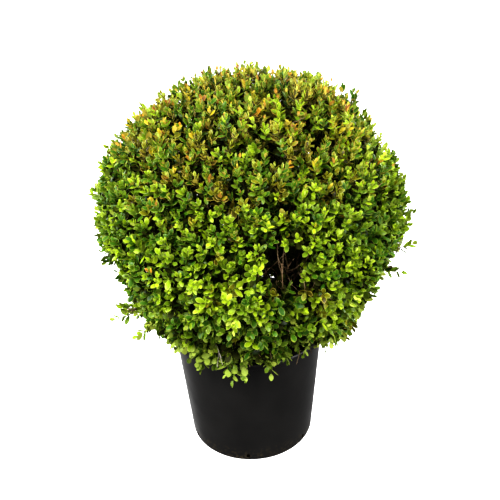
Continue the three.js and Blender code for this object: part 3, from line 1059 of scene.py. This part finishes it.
def make_compost(material):
    """The body of the compost with an uneven top, and loose crumbs and chips on it."""
    low, high = (np.array(corner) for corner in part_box("compost"))
    edge, top, foot = high[0], high[2], low[2]
    bottom = wall_radius(foot + FOOT_ROUNDING) - 2 * WALL
    outline = [(0, foot)] + straight((bottom / 2, foot), (bottom - 0.008, foot), 3)
    outline += straight((bottom, foot + 0.010), (edge, top - 0.0075), 6)
    outline += straight((edge, top - 0.0075), (0.002, top - 0.001), 60)
    outline += [(0, top - 0.001)]
    vertices, faces = turned_arrays(outline, POT_SIDES, ring=False)
    for index in np.flatnonzero(vertices[:, 2] > top - 0.009):
        x, y, _ = vertices[index]
        slow = noise.noise(Vector((22 * x, 22 * y, 3.0)))
        quick = noise.noise(Vector((160 * x, 160 * y, 7.0)))
        fade = smoothstep(0.0, 0.012, edge - math.hypot(x, y))
        vertices[index, 2] += fade * (0.0016 * slow + 0.0010 * quick)
    crumb_radius = np.sqrt(rng.random(COMPOST_CRUMBS)) * (edge - 0.006)
    crumb_turn = rng.uniform(0, 2 * np.pi, COMPOST_CRUMBS)
    size = rng.uniform(0.0012, 0.0042, (COMPOST_CRUMBS, 1, 1))
    stretch = rng.uniform((0.7, 0.4, 0.25), (1.6, 0.9, 0.5), (COMPOST_CRUMBS, 3))
    cube = 2.0 * np.array(list(np.ndindex(2, 2, 2))) - 1
    corners = cube * stretch[:, None] + rng.normal(0, 0.22, (COMPOST_CRUMBS, 8, 3))
    spin = rng.uniform(0, 2 * np.pi, COMPOST_CRUMBS)
    c, s = np.cos(spin)[:, None], np.sin(spin)[:, None]
    x, y, z = corners.transpose(2, 0, 1)
    corners = np.stack([c * x - s * y, s * x + c * y, z], -1) * size
    level = top - 0.0015 - 0.006 * (crumb_radius / edge) ** 2
    place = [crumb_radius * np.cos(crumb_turn), crumb_radius * np.sin(crumb_turn), level]
    corners += np.stack(place, 1)[:, None]
    cube_faces = np.array([
        [0, 1, 3], [0, 3, 2], [4, 6, 7], [4, 7, 5], [0, 4, 5], [0, 5, 1],
        [2, 3, 7], [2, 7, 6], [0, 2, 6], [0, 6, 4], [1, 5, 7], [1, 7, 3],
    ])
    crumb_faces = cube_faces + 8 * np.arange(COMPOST_CRUMBS)[:, None, None] + len(vertices)
    vertices = np.concatenate([vertices, corners.reshape(-1, 3)])
    faces = np.concatenate([faces, crumb_faces.reshape(-1, 3)])
    piece = mesh_object("compost_top", vertices, faces, material)
    piece.data.set_sharp_from_angle(angle=math.radians(50))
    return piece


def make_stem(material, names):
    """The stem and boughs grown together into one skin, with the bark's relief."""
    vertices, faces = [], []
    for name in names:
        corners, triangles = node_arrays(name)
        faces.append(triangles + sum(len(part) for part in vertices))
        vertices.append(corners)
    piece = mesh_object("stem_and_boughs", np.concatenate(vertices), np.concatenate(faces), material)
    skin = piece.modifiers.new("skin", "REMESH")
    skin.mode = "VOXEL"
    skin.voxel_size = 0.0012
    smooth = piece.modifiers.new("smooth", "SMOOTH")
    smooth.iterations = 6
    apply_modifiers(piece)
    mesh = piece.data
    place, normal = np.empty((2, 3 * len(mesh.vertices)))
    mesh.vertices.foreach_get("co", place)
    mesh.vertices.foreach_get("normal", normal)
    place, normal = place.reshape(-1, 3), normal.reshape(-1, 3)
    ridge = [noise.noise(Vector(p)) for p in (place * (330, 330, 60)).tolist()]
    lump = [noise.noise(Vector(p)) for p in (120 * place).tolist()]
    place += normal * (0.00055 * np.array(ridge) + 0.0004 * np.array(lump))[:, None]
    mesh.vertices.foreach_set("co", place.ravel())
    mesh.update()
    mesh.materials.clear()
    mesh.materials.append(material)
    mesh.polygons.foreach_set("use_smooth", np.ones(len(mesh.polygons), bool))
    return piece


bpy.data.objects["limbs"].data.materials[0] = twig_bark_material()
limb_names = sorted(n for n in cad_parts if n.startswith("bough")) + ["stem"]
pot_plastic = pot_plastic_material()
for piece, slot, nodes in (
    (make_pot(pot_plastic), "pot_plastic", ["pot"]),
    (make_rim(pot_plastic), "pot_plastic", ["pot_rim"]),
    (make_compost(compost_material()), "compost", ["compost"]),
    (make_stem(bark_material(), limb_names), "bark", limb_names),
):
    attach(piece, "root")
    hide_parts(*nodes)

# -------- studio

WORLD = 0.44
FLOOR_GLOW = 0.9
MIRRORED = 1.1

floor_material = principled("studio_floor", (0.9, 0.9, 0.9), 0.9, 0.1)
floor_inputs = floor_material.node_tree.nodes["Principled BSDF"].inputs
floor_inputs["Emission Color"].default_value = (1, 1, 1, 1)
floor_inputs["Emission Strength"].default_value = FLOOR_GLOW
floor = mesh_object(
    "studio_floor",
    np.array([[-9, -9, 0], [9, -9, 0], [9, 9, 0], [-9, 9, 0]], float),
    np.array([[0, 1, 2], [0, 2, 3]]),
    floor_material,
    smooth=False,
)
floor.visible_diffuse = False
floor.visible_glossy = False

world = bpy.data.worlds.new("studio")
bpy.context.scene.world = world
world.use_nodes = True
sky = Nodes(world, "Background", "Generated")
sky.inputs["Color"].default_value = (1, 1, 1, 1)
glow = sky.ranged(sky.part("Z"), -0.2, 0.7, 0.17, WORLD)
# The pale floor behind the pot, stronger on the left, as the pot's edges mirror it.
depth = sky.ranged(sky.part("Y"), 0.35, 0.90)
behind = sky.combined("MULTIPLY", depth, sky.ranged(sky.part("Z"), 0.05, -0.25))
leftness = sky.ranged(sky.part("X"), 0.5, -0.4, 0.3 * MIRRORED, MIRRORED)
behind = sky.combined("MULTIPLY", behind, leftness)
sky.feed("Strength", sky.combined("ADD", glow, behind))


# Softboxes: where each one stands, the height on the crown's axis that it faces, its size and power.
for name, place, aim, size, power in (
    ("key", (-1.1, -1.6, 2.7), 0.6, (0.9, 0.9), 75),
    ("fill", (1.7, -1.6, 2.2), 0.6, (1.2, 1.2), 36),
    ("top", (0.3, 0.9, 3.0), 0.6, (1.2, 1.2), 2),
    ("side_left", (-2.2, -0.9, 1.0), 0.6, (1.4, 1.4), 50.4),
    ("side_right", (2.2, -0.9, 1.0), 0.6, (1.4, 1.4), 36),
    ("back_left", (-1.7, 1.5, 0.8), 0.3, (1.2, 1.4), 28),
    ("back_right", (1.7, 1.5, 0.8), 0.3, (1.2, 1.4), 28),
):
    light = bpy.data.lights.new(name, "AREA")
    light.shape = "RECTANGLE"
    light.size, light.size_y = size
    light.energy = power
    softbox = linked(name, light)
    softbox.visible_camera = False
    softbox.location = place
    facing = Vector((0, 0, aim)) - Vector(place)
    softbox.rotation_euler = facing.to_track_quat("-Z", "Y").to_euler()

# -------- camera

camera_data = bpy.data.cameras.new("camera")
camera_data.lens = 72.0
camera_data.sensor_width = 36.0
camera = linked("camera", camera_data)
bpy.context.scene.camera = camera
tilt = Matrix.Rotation(math.radians(90 - 30.88), 4, "X")  # 30.88 degrees down
roll = Matrix.Rotation(math.radians(-2.35), 4, "Z")
camera.matrix_world = Matrix.Translation((0.0115, -2.021, 1.731)) @ tilt @ roll
bpy.context.scene.view_settings.view_transform = "Standard"
bpy.context.scene.view_settings.look = "High Contrast"
